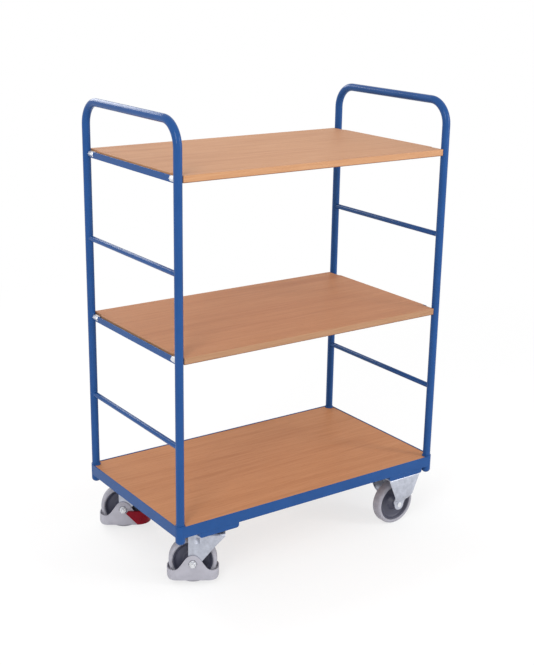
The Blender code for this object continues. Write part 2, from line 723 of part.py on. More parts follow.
def guard_side():
    """The foot guard from its side: a low rim that rises in a bell over the axle."""
    foot = GUARD_FOOT - WHEEL_RADIUS
    rim = GUARD_RIM - WHEEL_RADIUS
    half = GUARD_HALF_LENGTH
    outline = arc((-half + GUARD_EDGE, foot + GUARD_EDGE), GUARD_EDGE, 180, 270, CORNER_STEPS)
    outline += arc((half - GUARD_EDGE, foot + GUARD_EDGE), GUARD_EDGE, 270, 360, CORNER_STEPS)
    outline.append((half, rim))
    for i in range(BELL_STEPS + 1):
        share = 1 - 2 * i / BELL_STEPS
        flank = math.cos(math.pi / 2 * abs(share) ** GUARD_DOME_SPREAD)
        height = (GUARD_DOME_RISE - rim) * abs(flank) ** GUARD_DOME_FALL
        outline.append((share * GUARD_DOME_HALF_WIDTH, rim + height))
    outline.append((-half, rim))
    width = GUARD_HALF_WIDTH + CUT_OVERRUN
    return prism(outline, -width, width, "Y")


def make_foot_guard(where, place, axle_at, grey):
    """A plastic ring round the foot of the wheel, held by the axle at its two domes."""
    low = GUARD_FOOT - CUT_OVERRUN - WHEEL_RADIUS
    high = GUARD_DOME_RISE + CUT_OVERRUN
    outer = rounded_rectangle(GUARD_HALF_LENGTH, GUARD_HALF_WIDTH, GUARD_CORNER)
    guard = make_piece(f"foot_guard_{where}", prism(outer, low, high, "Z"), grey, place, axle_at)
    inner = rounded_rectangle(
        GUARD_HALF_LENGTH - GUARD_WALL, GUARD_HALF_WIDTH - GUARD_WALL, GUARD_CORNER - GUARD_WALL
    )
    hollow = prism(inner, low - CUT_OVERRUN, high + CUT_OVERRUN, "Z")
    combine(guard, make_helper(f"guard_hollow_{where}", hollow, guard), "DIFFERENCE")
    combine(guard, make_helper(f"guard_side_{where}", guard_side(), guard), "INTERSECT")
    hole = axle_hole_cutter(GUARD_HALF_WIDTH)
    combine(guard, make_helper(f"guard_axle_hole_{where}", hole, guard), "DIFFERENCE")
    return guard


def make_axle_bolt(where, place, axle_at, steel):
    """The axle bolt: its head is on the far side (+Y) and its nut on the near side (-Y)."""
    shank_end = NUT_END + AXLE_BOLT_END
    shank = [
        (0, -shank_end + AXLE_BOLT_END / 2),
        (AXLE_RADIUS - AXLE_BOLT_END / 2, -shank_end),
        (AXLE_RADIUS, -NUT_END),
        (AXLE_RADIUS, WASHER_FACE),
        (AXLE_WASHER_DIAMETER / 2, WASHER_FACE),
        (AXLE_WASHER_DIAMETER / 2, NUT_FACE),
        (0, NUT_FACE),
    ]
    bolt = make_piece(f"axle_bolt_{where}", turned(shank, SMALL_SIDES, "Y"), steel, place, axle_at)
    head = prism(hexagon(AXLE_NUT_FLATS), NUT_FACE - SEAT_GAP, NUT_END, "Y")
    combine(bolt, make_helper(f"bolt_head_{where}", head, bolt), "UNION")

    washer = cylinder(AXLE_WASHER_DIAMETER / 2, -NUT_FACE, -WASHER_FACE, SMALL_SIDES, "Y")
    nut = make_piece(f"axle_nut_{where}", washer, steel, place, axle_at)
    body = prism(hexagon(AXLE_NUT_FLATS), -NUT_END, -NUT_FACE + SEAT_GAP, "Y")
    combine(nut, make_helper(f"nut_body_{where}", body, nut), "UNION")
    radius = corner_radius(AXLE_RADIUS + SEAT_GAP, SMALL_SIDES)
    hole = cylinder(radius, -NUT_END - CUT_OVERRUN, -WASHER_FACE + CUT_OVERRUN, SMALL_SIDES, "Y")
    combine(nut, make_helper(f"nut_hole_{where}", hole, nut), "DIFFERENCE")


def pedal_plan(half_length, half_width, corner, reach):
    """An outline round the wheel's foot, as a block with its origin on the pedal's pins."""
    outline = [(x - PEDAL_PIN_X, y) for x, y in rounded_rectangle(half_length, half_width, corner)]
    return prism(outline, -reach, reach, "Z")


def pedal_side():
    """The pedal from its side, wide enough to cut through both cheeks."""
    outline = [
        (PEDAL_CHEEK_X, PEDAL_CHEEK_Z),
        (PEDAL_HEEL_X, PEDAL_FOOT),
        (PEDAL_HALF_LENGTH + CUT_OVERRUN, PEDAL_FOOT),
        (PEDAL_HALF_LENGTH + CUT_OVERRUN, PEDAL_NOSE_TOP),
        (PEDAL_HALF_LENGTH, PEDAL_NOSE_TOP),
        (PEDAL_TOP_END_X, PEDAL_TOP),
        (PEDAL_TOP_START_X, PEDAL_TOP),
    ]
    outline = [(x - PEDAL_PIN_X, z - PEDAL_PIN_Z) for x, z in outline]
    width = PEDAL_HALF_WIDTH + CUT_OVERRUN
    return prism(outline, -width, width, "Y")


def make_brake_pedal(where, place, guard, red):
    """A stirrup round the leading end of the foot guard, on two pins in the guard's flanks."""
    hinge_at = (PEDAL_PIN_X - TRAIL, 0, PEDAL_PIN_Z)
    block = pedal_plan(PEDAL_HALF_LENGTH, PEDAL_HALF_WIDTH, PEDAL_CORNER, PEDAL_TOP)
    pedal = make_piece(f"brake_pedal_{where}", block, red, place, hinge_at)
    combine(pedal, make_helper(f"pedal_side_{where}", pedal_side(), pedal), "INTERSECT")
    room_length = GUARD_HALF_LENGTH + PEDAL_NOSE_GAP
    room_width = GUARD_HALF_WIDTH + RUNNING_GAP
    hollow = pedal_plan(room_length, room_width, GUARD_CORNER, PEDAL_TOP + CUT_OVERRUN)
    combine(pedal, make_helper(f"pedal_hollow_{where}", hollow, pedal), "DIFFERENCE")
    pin_foot = GUARD_HALF_WIDTH - GUARD_WALL + SEAT_GAP
    pin_head = PEDAL_HALF_WIDTH - PEDAL_WALL / 2
    for side, sign in SIDES.items():
        low, high = sorted((sign * pin_foot, sign * pin_head))
        pin = cylinder(PEDAL_PIN_DIAMETER / 2, low, high, SMALL_SIDES, "Y")
        combine(pedal, make_helper(f"pedal_pin_{side}_{where}", pin, pedal), "UNION")
    half = GUARD_HALF_WIDTH + CUT_OVERRUN
    radius = corner_radius(PEDAL_PIN_DIAMETER / 2 + RUNNING_GAP, SMALL_SIDES)
    hole = cylinder(radius, -half, half, SMALL_SIDES, "Y")
    bmesh.ops.translate(hole, verts=hole.verts[:], vec=(PEDAL_PIN_X, 0, PEDAL_PIN_Z - WHEEL_RADIUS))
    combine(guard, make_helper(f"pedal_pin_hole_{where}", hole, guard), "DIFFERENCE")


def make_swivel_caster(where, sign_y, yaw, trolley, looks):
    zinc, steel, tyre, rim, grey = looks
    place = make_place(f"swivel_axis_{where}", (SWIVEL_X, sign_y * CASTER_Y, 0), yaw, trolley)
    axle_at = (-TRAIL, 0, WHEEL_RADIUS)
    plate = prism(rounded_rectangle(PLATE_LENGTH / 2, PLATE_WIDTH / 2, PLATE_CORNER), PLATE_BOTTOM, PLATE_TOP, "Z")
    make_piece(f"caster_plate_{where}", plate, zinc, trolley, place.location)
    make_piece(f"swivel_head_{where}", swivel_head(), zinc, place)
    make_swivel_fork(where, place, zinc)
    make_wheel(where, place, axle_at, tyre, rim, steel)
    make_axle_bolt(where, place, axle_at, steel)
    return place, make_foot_guard(where, place, axle_at, grey)


def fixed_fork_stations():
    """(y, z, half width) along the middle of the sheet, from an eye's foot up to the middle of the plate."""
    plate_z = PLATE_TOP - FORK_WALL / 2
    bend_z = plate_z - FIXED_BEND_RADIUS
    eye_y = FORK_HALF_WIDTH - FORK_WALL / 2
    leg_y = FIXED_PLATE_WIDTH / 2 - FORK_WALL / 2
    knee_z = WHEEL_RADIUS + FIXED_KNEE_RISE
    half_length = FIXED_PLATE_LENGTH / 2
    stations = []
    for w, down in arc((0, 0), FIXED_EYE_RADIUS, EYE_START_ANGLE, 0, EYE_STEPS):
        stations.append((eye_y, WHEEL_RADIUS + down, w))
    for i in range(STEP_STEPS + 1):
        share = i / STEP_STEPS
        rise = FIXED_STEP_RISE + (FIXED_KNEE_RISE - FIXED_STEP_RISE) * share
        width = FIXED_EYE_RADIUS + (FIXED_KNEE_HALF_WIDTH - FIXED_EYE_RADIUS) * rise / FIXED_KNEE_RISE
        stations.append((eye_y + (leg_y - eye_y) * share**2 * (3 - 2 * share), WHEEL_RADIUS + rise, width))
    for y, z in arc((leg_y - FIXED_BEND_RADIUS, bend_z), FIXED_BEND_RADIUS, 0, 90, FOLD_STEPS):
        share = min((z - knee_z) / (bend_z - knee_z), 1)
        stations.append((y, z, FIXED_KNEE_HALF_WIDTH + (half_length - FIXED_KNEE_HALF_WIDTH) * share))
    stations.append((0, plate_z, half_length))
    return stations


def fixed_fork():
    """One bent sheet: a plate with two legs that narrow to round eyes, each with a raised middle panel."""
    half = fixed_fork_stations()
    path = half + [(-y, z, w) for y, z, w in half[-2::-1]]
    rib_foot = WHEEL_RADIUS + FIXED_STEP_RISE
    rib_top = PLATE_TOP - FORK_WALL - FIXED_BEND_RADIUS
    shape = bmesh.new()
    outside = []
    inside = []
    for i, (y, z, w) in enumerate(path):
        before = path[max(i - 1, 0)]
        after = path[min(i + 1, len(path) - 1)]
        along = Vector((0, after[0] - before[0], after[1] - before[1])).normalized()
        outward = Vector((0, along.z, -along.y))
        lift = FIXED_RIB_HEIGHT * min(max(min(z - rib_foot, rib_top - z) / FIXED_RIB_FADE, 0), 1)
        panel = min(FIXED_PANEL_HALF_WIDTH, PANEL_EDGE_SHARE * w)
        foot = min(FIXED_PANEL_HALF_WIDTH + 2 * FIXED_RIB_HEIGHT, PANEL_FOOT_SHARE * w)
        for side, rows in ((1, outside), (-1, inside)):
            row = []
            for x, rise in ((-w, 0), (-foot, 0), (-panel, lift), (panel, lift), (foot, 0), (w, 0)):
                row.append(shape.verts.new(Vector((x, y, z)) + outward * (side * FORK_WALL / 2 + rise)))
            rows.append(row)
    last = len(outside[0]) - 1
    for rows in (outside, inside):
        for low, high in zip(rows, rows[1:]):
            for k in range(last):
                shape.faces.new((low[k], low[k + 1], high[k + 1], high[k]))
    for i in range(len(path) - 1):
        for k in (0, last):
            shape.faces.new((outside[i][k], outside[i + 1][k], inside[i + 1][k], inside[i][k]))
    for i in (0, -1):
        for k in range(last):
            shape.faces.new((outside[i][k], outside[i][k + 1], inside[i][k + 1], inside[i][k]))
    return shape


def riveted_axle():
    face = FORK_HALF_WIDTH + SEAT_GAP
    head = AXLE_RIVET_DIAMETER / 2
    end = face + AXLE_RIVET_THICKNESS
    half = [(AXLE_RADIUS, face), (head, face), (head - AXLE_RIVET_TAPER, end), (0, end)]
    return turned([(radius, -height) for radius, height in half[::-1]] + half, SMALL_SIDES, "Y")


def make_fixed_caster(where, sign_y, trolley, looks):
    zinc, steel, tyre, rim = looks
    place = make_place(f"fixed_caster_place_{where}", (FIXED_X, sign_y * CASTER_Y, 0), parent=trolley)
    axle_at = (0, 0, WHEEL_RADIUS)
    fork = make_piece(f"fixed_fork_{where}", fixed_fork(), zinc, place)
    hole = axle_hole_cutter(FORK_HALF_WIDTH)
    bmesh.ops.translate(hole, verts=hole.verts[:], vec=axle_at)
    combine(fork, make_helper(f"axle_hole_{where}", hole, fork), "DIFFERENCE")
    make_piece(f"axle_{where}", riveted_axle(), steel, place, axle_at)
    make_wheel(where, place, axle_at, tyre, rim, steel)


def main():
    clear_scene()
    blue = make_material("blue_paint", (0.028, 0.085, 0.275), 0.32, 0.0)
    wood = make_material("beech_board", (0.56, 0.29, 0.15), 0.42, 0.0)
    zinc = make_material("zinc_plate", (0.62, 0.63, 0.66), 0.34, 0.9)
    steel = make_material("bright_steel", (0.55, 0.55, 0.56), 0.30, 1.0)
    tyre = make_material("grey_tyre", (0.40, 0.40, 0.43), 0.60, 0.0)
    rim = make_material("dark_rim", (0.060, 0.060, 0.070), 0.48, 0.0)
    grey = make_material("grey_plastic", (0.42, 0.42, 0.44), 0.50, 0.0)
    red = make_material("red_plastic", (0.28, 0.010, 0.022), 0.30, 0.0)
    trolley = make_place("trolley", (0, -FRAME_SHIFT, 0))
    make_base_frame(trolley, blue)
    make_end_frames(trolley, blue)
    make_boards(trolley, wood)
    make_shelf_supports(trolley, blue, zinc)
    looks = (zinc, steel, tyre, rim)
    make_swivel_caster("front_left", -1, FRONT_SWIVEL_YAW, trolley, (*looks, grey))
    place, guard = make_swivel_caster("back_left", 1, BACK_SWIVEL_YAW, trolley, (*looks, grey))
    make_brake_pedal("back_left", place, guard, red)
    make_fixed_caster("front_right", -1, trolley, looks)
    make_fixed_caster("back_right", 1, trolley, looks)


main()
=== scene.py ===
import json
import math

import bmesh
import bpy
from mathutils import Matrix, Vector

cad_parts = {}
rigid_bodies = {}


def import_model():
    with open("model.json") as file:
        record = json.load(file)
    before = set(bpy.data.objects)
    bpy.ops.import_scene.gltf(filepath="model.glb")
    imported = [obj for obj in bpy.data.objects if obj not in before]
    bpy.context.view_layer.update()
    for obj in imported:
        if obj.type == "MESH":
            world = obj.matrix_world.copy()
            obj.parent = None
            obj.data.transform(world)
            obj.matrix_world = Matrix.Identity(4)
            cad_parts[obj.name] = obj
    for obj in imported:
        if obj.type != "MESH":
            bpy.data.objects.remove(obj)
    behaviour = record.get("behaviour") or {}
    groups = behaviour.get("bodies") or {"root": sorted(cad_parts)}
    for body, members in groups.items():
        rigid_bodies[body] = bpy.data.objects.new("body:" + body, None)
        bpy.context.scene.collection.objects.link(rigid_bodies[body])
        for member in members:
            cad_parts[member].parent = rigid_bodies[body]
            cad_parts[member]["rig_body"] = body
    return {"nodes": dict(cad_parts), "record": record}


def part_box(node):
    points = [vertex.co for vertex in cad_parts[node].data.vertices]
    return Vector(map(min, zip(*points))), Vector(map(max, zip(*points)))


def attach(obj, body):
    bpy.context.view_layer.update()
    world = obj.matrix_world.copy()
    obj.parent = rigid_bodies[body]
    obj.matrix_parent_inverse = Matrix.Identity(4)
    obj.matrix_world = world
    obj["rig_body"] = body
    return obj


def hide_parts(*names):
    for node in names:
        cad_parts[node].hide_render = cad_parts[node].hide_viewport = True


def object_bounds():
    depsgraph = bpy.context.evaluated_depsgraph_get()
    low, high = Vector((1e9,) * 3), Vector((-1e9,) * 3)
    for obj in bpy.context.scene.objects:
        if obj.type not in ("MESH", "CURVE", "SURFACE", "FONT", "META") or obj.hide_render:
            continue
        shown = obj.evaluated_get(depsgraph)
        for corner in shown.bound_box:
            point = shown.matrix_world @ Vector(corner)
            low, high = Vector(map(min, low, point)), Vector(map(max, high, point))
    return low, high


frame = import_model()
CAD_BOX = [list(corner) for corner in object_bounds()]
ENDS = {"left": -1, "right": 1}
SIDES = {"front": -1, "back": 1}
SWIVELS = ("front_left", "back_left")
FIXED = ("front_right", "back_right")


def extent(node):
    low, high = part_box(node)
    return high - low


def middle(node):
    low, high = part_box(node)
    return (low + high) / 2


def joint(name):
    return next(j for j in frame["record"]["behaviour"]["joints"] if j["name"] == name)


# End frames, from the CAD frame
TUBE_LOW, TUBE_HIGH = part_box("end_tube_right")
TUBE_RADIUS = (TUBE_HIGH.x - TUBE_LOW.x) / 2
POST_X = middle("end_tube_right").x
POST_Y = extent("end_tube_right").y / 2 - TUBE_RADIUS
FRAME_Y = middle("end_tube_right").y
HANDLE_AXIS = TUBE_HIGH.z - TUBE_RADIUS
BEND_RADIUS = 0.078

# Where a rung ends inside its posts, as a share of their radius short of their axes
RUNG_REACH = 0.6

# Weld beads on the rungs' ends. Their section is in shares of their size, out from the rung and off the post
WELD_SIZE = 0.0022
WELD_ROOT = 0.0006
WELD_SECTION = ((-WELD_ROOT / WELD_SIZE, 0.35), (0.0, 1.0), (0.45, 0.45), (1.0, 0.0), (0.8, -0.5))
WELD_WRAP = 0.9

# Corner sleeves
SLEEVE_RADIUS = CAD_BOX[1][0] - POST_X
SLEEVE_LOW, SLEEVE_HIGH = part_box("corner_sleeve_front_right")
SLEEVE_DOME = 0.014
SLEEVE_LIP = 0.001

# Wheels, from the front right one, which stands square to the axes
WHEEL_RADIUS = extent("wheel_tyre_front_right").z / 2
TYRE_HALF_WIDTH = extent("wheel_tyre_front_right").y / 2
TREAD_HALF_WIDTH = 0.008
TYRE_SHOULDER = 0.008
TYRE_THICKNESS = 0.014
TYRE_FOOT = 0.0030
RIM_RADIUS = WHEEL_RADIUS - TYRE_THICKNESS
RIM_HALF_WIDTH = 0.017
RIM_EASE = 0.0015
RING_FOOT, RING_STEP, RING_SHOULDER = 0.003, 0.002, 0.0045
HUB_HALF_WIDTH = extent("wheel_rim_front_right").y / 2
HUB_RADIUS = 0.019
HUB_EDGE, HUB_TAPER, HUB_COLLAR = 0.0012, 0.0015, 0.008
WEB_HALF_WIDTH = 0.007
WEB_BLEND = 0.004
BEARING_RADIUS = 0.012
BEARING_HALF_WIDTH = extent("hub_bearing_front_right").y / 2
BEARING_EDGE, BEARING_GAP = 0.0008, 0.0005
AXLE_RADIUS = 0.006
SEAT = 0.0003

# Swivel forks: ahead of the crease the cheeks swell outward, most near the crown
FORK_CREASE = -0.029
FORK_REACH = 0.054
FORK_SWELL = 0.008
FORK_SWELL_FOOT = 0.112
FORK_CUTS, FORK_ROWS = 12, 4

# Fixed forks, with heights above their axle. Their legs spread up to KNEE in the CAD and to KNEE_HERE here
FIXED_EYE, FIXED_BEND = 0.020, 0.0055
FIXED_STEP, FIXED_KNEE, FIXED_KNEE_HERE = 0.012, 0.036, 0.047
FIXED_KNEE_HALF = 0.041
FIXED_SHEET = 0.003

# Riveted axles: (radius, height above the head's foot) and (radius, depth below its top)
RIVET_HEAD = 0.0025
RIVET_SIDE = ((0.0086, 0.0), (0.0090, 0.0005), (0.0088, 0.0015))
RIVET_DOME = ((0.0075, 0.0002), (0.0040, 0.0), (0.0, 0.0))

# Swivel heads, from their top and from the king nut's underside
HEAD_LOW, HEAD_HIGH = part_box("swivel_head_front_left")
HEAD_RADIUS = 0.038
HEAD_HEIGHT = 0.0069
HEAD_CHAMFER, HEAD_LIP, HEAD_EDGE = 0.0040, 0.0012, 0.0006
GROOVE_SHARE = 0.45
GROOVE_DEPTH, GROOVE_EDGE = 0.0024, 0.0008
GROOVE_RIM, GROOVE_HALF_WIDTH = 0.0010, 0.0004
KING_NUT_RADIUS = 0.012
KING_NUT_THICKNESS = 0.009
KING_NUT_EDGE = 0.0008

# Foot guards, along and across their wheel
GUARD_HALF_LENGTH = 0.0859
GUARD_HALF_WIDTH = 0.0422
GUARD_CORNER = 0.034
GUARD_WALL = 0.0035
GUARD_LOW, GUARD_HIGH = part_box("foot_guard_front_left")
GUARD_RIM = 0.055
GUARD_DOME_HALF_WIDTH = 0.082
GUARD_DOME_SPREAD = 1.29
GUARD_DOME_FALL = 5.4
GUARD_FOOT_EDGE = 0.012
GUARD_EASE = 0.0011
GUARD_ROUND = 0.3
NUT_SEAT_INNER, NUT_SEAT_OUTER = 0.0122, 0.0152
NUT_SEAT_DEPTH = 0.0006

# Bolts through the caster plates
BOLT_SPREAD_X, BOLT_SPREAD_Y = 0.0525, 0.040
BOLT_FLATS = 0.013
BOLT_HEAD = 0.005
BOLT_WASHER_RADIUS = 0.0082
BOLT_WASHER = 0.0012

# Widths of eased edges, and the largest share of a side that an eased corner takes
RAIL_EDGE, CROSS_MEMBER_EDGE = 0.0012, 0.0008
CARRIER_EDGE, CARRIER_NUT_EDGE = 0.0008, 0.0005
BOARD_EDGE, PLATE_EDGE, FORK_EDGE = 0.0008, 0.0008, 0.0006
AXLE_EDGE, BOLT_EDGE, PEDAL_EDGE = 0.0004, 0.0005, 0.0020
EASE_SHARE = 0.45

# How finely round shapes are made, how near two points are merged and how flat a joined face is
TUBE_SIDES, BEND_STEPS = 40, 20
WHEEL_SIDES, HEAD_SIDES, AXLE_SIDES, THIN_SIDES = 96, 72, 48, 32
DOME_STEPS, SHOULDER_STEPS = 12, 9
GUARD_FLAT_STEPS, GUARD_CORNER_STEPS = 48, 12
MERGE_DISTANCE = 0.00001
FLAT_ANGLE = math.radians(0.5)

# Looks: most of a noise's values lie between these two
MID_NOISE = (0.3, 0.7)

# Camera, fitted to the photograph
IMAGE_HEIGHT = 665
FOCAL_PIXELS = 1190.02
CAMERA_AT = Vector((-2.25462, -3.21553 + FRAME_Y, 1.9704))
CAMERA_YAW, CAMERA_PITCH, CAMERA_ROLL = 0.6128, -0.3058, 0.0163
SENSOR_MM = 36
FAR_CLIP = 200

# Light: each lamp's name, place, target, size and power
LAMPS = (
    ("key", (-3.2, -2.6, 3.2), (0, 0, 0.8), (1.2, 2.6), 85),
    ("fill", (2.6, -3.4, 2.2), (0, 0, 0.8), (0.9, 2.6), 70),
    ("rim", (-0.5, 3.5, 3.0), (0, 0, 0.9), (2.4, 1.2), 50),
)
AMBIENT = 0.80
WHITE = (1, 1, 1, 1)

# Floor: its glow and the distances between which the glow takes over
FLOOR_SIZE = 60.0
FLOOR_DROP = 0.0002
FLOOR_COLOUR = (0.93, 0.93, 0.93, 1)
FLOOR_GLOW = 0.70
GLOW_FADE_START, GLOW_FADE_END = 1.0, 3.5


def to_linear(r, g, b):
    """Linear light from 8-bit display values."""
    channels = []
    for value in (r, g, b):
        share = value / 255
        channels.append(share / 12.92 if share <= 0.04045 else ((share + 0.055) / 1.055) ** 2.4)
    return (*channels, 1.0)


class Look:
    """A Principled material with a few short ways to add procedural detail."""

    def __init__(self, name, roughness, metallic=0.0, specular=0.5):
        self.material = bpy.data.materials.new(name)
        self.material.use_nodes = True
        self.tree = self.material.node_tree
        self.shader = self.tree.nodes["Principled BSDF"]
        self.put("Roughness", roughness)
        self.put("Metallic", metallic)
        self.put("Specular IOR Level", specular)
        self.place = self.node("ShaderNodeTexCoord").outputs["Object"]

    def node(self, kind, **settings):
        made = self.tree.nodes.new(kind)
        for key, value in settings.items():
            setattr(made, key, value)
        return made

    def link(self, output, socket):
        self.tree.links.new(output, socket)

    def put(self, socket, value):
        self.shader.inputs[socket].default_value = value

    def feed(self, socket, output):
        self.link(output, self.shader.inputs[socket])

    def stretched(self, scale, shift=(0, 0, 0)):
        mapping = self.node("ShaderNodeMapping")
        mapping.inputs["Scale"].default_value = scale
        mapping.inputs["Location"].default_value = shift
        self.link(self.place, mapping.inputs["Vector"])
        return mapping.outputs["Vector"]

    def noise(self, scale, detail=2.0, rough=0.5, vector=None):
        noise = self.node("ShaderNodeTexNoise")
        noise.inputs["Scale"].default_value = scale
        noise.inputs["Detail"].default_value = detail
        noise.inputs["Roughness"].default_value = rough
        self.link(vector or self.place, noise.inputs["Vector"])
        return noise.outputs["Fac"]

    def ramp(self, factor, *stops):
        """Colours at stops of (position, colour)."""
        ramp = self.node("ShaderNodeValToRGB")
        elements = ramp.color_ramp.elements
        while len(elements) < len(stops):
            elements.new(0.5)
        for element, (position, colour) in zip(elements, stops):
            element.position = position
            element.color = colour
        self.link(factor, ramp.inputs["Fac"])
        return ramp.outputs["Color"]

    def range(self, value, source, target):
        """The value's share of the source range, carried to the target range."""
        node = self.node("ShaderNodeMapRange")
        for key, number in zip(("From Min", "From Max", "To Min", "To Max"), (*source, *target)):
            node.inputs[key].default_value = number
        self.link(value, node.inputs["Value"])
        return node.outputs["Result"]

    def mix(self, factor, first, second):
        """From the first colour to the second, each a colour or an output."""
        mix = self.node("ShaderNodeMix", data_type="RGBA")
        for colour, index in ((factor, 0), (first, 6), (second, 7)):
            if isinstance(colour, tuple):
                mix.inputs[index].default_value = colour
            else:
                self.link(colour, mix.inputs[index])
        return mix.outputs[2]

    def math(self, operation, *outputs):
        node = self.node("ShaderNodeMath", operation=operation)
        for output, socket in zip(outputs, node.inputs):
            self.link(output, socket)
        return node.outputs["Value"]

    def axes(self):
        split = self.node("ShaderNodeSeparateXYZ")
        self.link(self.place, split.inputs["Vector"])
        return split.outputs["X"], split.outputs["Y"], split.outputs["Z"]

    def bump(self, height, distance, strength):
        bump = self.node("ShaderNodeBump")
        bump.inputs["Distance"].default_value = distance
        bump.inputs["Strength"].default_value = strength
        self.link(height, bump.inputs["Height"])
        self.feed("Normal", bump.outputs["Normal"])


def blue_paint():
    """Smooth glossy powder coat with a faint unevenness in its sheen."""
    look = Look("blue_powder_coat", roughness=0.24, specular=0.15)
    tone = look.noise(9, detail=3)
    look.feed("Base Color", look.ramp(tone, (0.3, to_linear(30, 71, 127)), (0.7, to_linear(34, 76, 134))))
    look.feed("Roughness", look.range(look.noise(70), MID_NOISE, (0.17, 0.23)))
    look.bump(look.noise(240), distance=0.0001, strength=0.03)
    return look.material


def board_wood(name, light, dark, fleck, shift):
    """Beech decor: long soft bands along X, a fine grain and short dark flecks."""
    light, dark, fleck = (to_linear(*colour) for colour in (light, dark, fleck))
    look = Look(name, roughness=0.50, specular=0.16)
    bands = look.noise(1, detail=5, rough=0.6, vector=look.stretched((1.0, 19, 7), shift))
    grain = look.noise(1, detail=3, rough=0.6, vector=look.stretched((7, 260, 90), shift))
    flecks = look.noise(1, detail=1, vector=look.stretched((55, 620, 200), shift))
    colour = look.ramp(bands, (0.3, dark), (0.5, light), (0.72, dark))
    colour = look.mix(look.range(grain, (0.35, 0.75), (0.0, 0.30)), colour, fleck)
    colour = look.mix(look.range(flecks, (0.62, 0.74), (0.0, 0.45)), colour, fleck)
    look.feed("Base Color", colour)
    look.feed("Roughness", look.range(grain, MID_NOISE, (0.45, 0.56)))
    look.bump(grain, distance=0.0002, strength=0.2)
    return look.material


def edge_band(level, low, high):
    """Pale edging with a fine grain and a darker line of glue and core along its foot."""
    look = Look(f"beech_edge_{level}", roughness=0.42, specular=0.28)
    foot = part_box(f"board_{level}")[0].z
    grain = look.noise(1, detail=3, rough=0.6, vector=look.stretched((9, 9, 420)))
    tan = look.ramp(grain, (0.3, to_linear(*low)), (0.7, to_linear(*high)))
    rise = look.range(look.axes()[2], (foot + 0.0014, foot + 0.0030), (0.0, 1.0))
    look.feed("Base Color", look.mix(rise, to_linear(110, 66, 44), tan))
    look.bump(grain, distance=0.0002, strength=0.15)
    return look.material


def zinc(name, low, high, roughness):
    """Bright zinc: cloudy tone, fine drawn marks and a slightly uneven sheen."""
    look = Look(name, roughness, metallic=0.75)
    cloud = look.noise(60, detail=4, rough=0.6)
    look.feed("Base Color", look.ramp(cloud, (0.25, to_linear(*low)), (0.75, to_linear(*high))))
    marks = look.noise(1, vector=look.stretched((500, 500, 40)))
    look.feed("Roughness", look.range(marks, MID_NOISE, (roughness - 0.06, roughness + 0.1)))
    look.bump(marks, distance=0.0001, strength=0.2)
    return look.material


def tyre_rubber():
    """Matt grey rubber with soft patches and a very fine grain."""
    look = Look("grey_rubber", roughness=0.62)
    tone = look.noise(70, detail=3)
    low, high = to_linear(150, 149, 159), to_linear(166, 165, 175)
    look.feed("Base Color", look.ramp(tone, (0.3, low), (0.7, high)))
    look.feed("Roughness", look.range(tone, MID_NOISE, (0.55, 0.7)))
    look.bump(look.noise(1400), distance=0.0002, strength=0.2)
    return look.material


def plastic(name, low, high, roughness, grain_scale, grain_strength, specular=0.5):
    """Moulded plastic with soft patches and a fine grain."""
    look = Look(name, roughness, specular=specular)
    tone = look.noise(35, detail=3)
    look.feed("Base Color", look.ramp(tone, (0.3, to_linear(*low)), (0.7, to_linear(*high))))
    look.feed("Roughness", look.range(tone, MID_NOISE, (roughness - 0.05, roughness + 0.07)))
    look.bump(look.noise(grain_scale), distance=0.0002, strength=grain_strength)
    return look.material


def arc(centre, radius, start, end, steps):
    """Points on an arc, with its angles in degrees."""
    points = []
    for i in range(steps + 1):
        angle = math.radians(start + (end - start) * i / steps)
        points.append((centre[0] + radius * math.cos(angle), centre[1] + radius * math.sin(angle)))
    return points


def on_axis(axis, a, b, level):
    """A point at a level along the Y or Z axis, with a and b across it."""
    return Vector((a, level, b)) if axis == "Y" else Vector((a, b, level))


def skin(rings, caps=True):
    """Faces over rings of equally many points."""
    shape = bmesh.new()
    loops = [[shape.verts.new(point) for point in ring] for ring in rings]
    for low, high in zip(loops, loops[1:]):
        for i in range(len(low)):
            j = (i + 1) % len(low)
            shape.faces.new((low[i], low[j], high[j], high[i]))
    if caps:
        shape.faces.new(loops[0])
        shape.faces.new(loops[-1])
    return shape


def prism(outline, low, high):
    return skin([[Vector((x, y, level)) for x, y in outline] for level in (low, high)])


def turned(profile, sides=64, axis="Z"):
    """A profile of (radius, height) turned about an axis. One that starts off it is closed to a ring."""
    shape = bmesh.new()
    columns = []
    for radius, height in profile:
        count = 1 if radius == 0 else sides
        ring = []
        for i in range(count):
            angle = 2 * math.pi * i / sides
            point = on_axis(axis, radius * math.cos(angle), radius * math.sin(angle), height)
            ring.append(shape.verts.new(point))
        columns.append(ring * (sides // count))
    pairs = list(zip(columns, columns[1:]))
    if profile[0][0] > 0:
        pairs.append((columns[-1], columns[0]))
    for low, high in pairs:
        for i in range(sides):
            j = (i + 1) % sides
            shape.faces.new(list(dict.fromkeys((low[i], low[j], high[j], high[i]))))
    return shape


def eased(profile, radius, steps=3):
    """The profile with each inner corner rounded."""
    points = [profile[0]]
    for before, corner, after in zip(profile, profile[1:], profile[2:]):
        corner = Vector(corner)
        first = Vector(before) - corner
        second = Vector(after) - corner
        reach = min(radius, first.length * EASE_SHARE, second.length * EASE_SHARE)
        start = corner + first.normalized() * reach
        end = corner + second.normalized() * reach
        for i in range(steps + 1):
            t = i / steps
            points.append(tuple(start * (1 - t) ** 2 + corner * 2 * t * (1 - t) + end * t**2))
    points.append(profile[-1])
    return points


